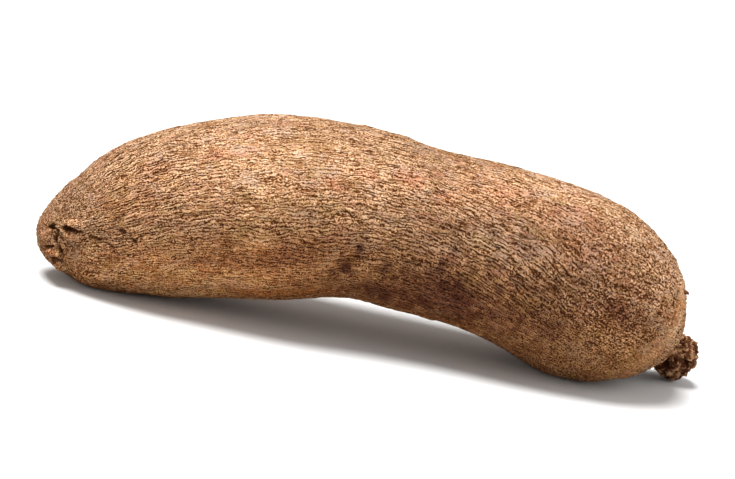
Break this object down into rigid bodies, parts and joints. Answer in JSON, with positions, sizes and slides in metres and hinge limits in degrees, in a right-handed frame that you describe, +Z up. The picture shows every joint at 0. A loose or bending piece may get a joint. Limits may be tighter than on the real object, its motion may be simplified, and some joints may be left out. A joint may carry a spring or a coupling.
{
  "type": "african yam",
  "caption": "Whole white yam tuber lying on its side: a long arched body in rough brown bark, with a folded growing tip and a corky crown knob.",
  "frame": {"origin": "on the resting surface, under the middle of the tuber's box seen from above", "axes": "+X along the tuber from the growing tip to the crown, +Y to the rear, +Z up"},
  "size_m": [0.3838, 0.1082, 0.1142],
  "materials": {
    "bark": "matte rough cork bark, warm brown with dark lengthwise cracks, pale warts, greyer patches and a dark corky crown"
  },
  "bodies": {
    "root": {"tuber": "bark"}
  },
  "joints": []
}
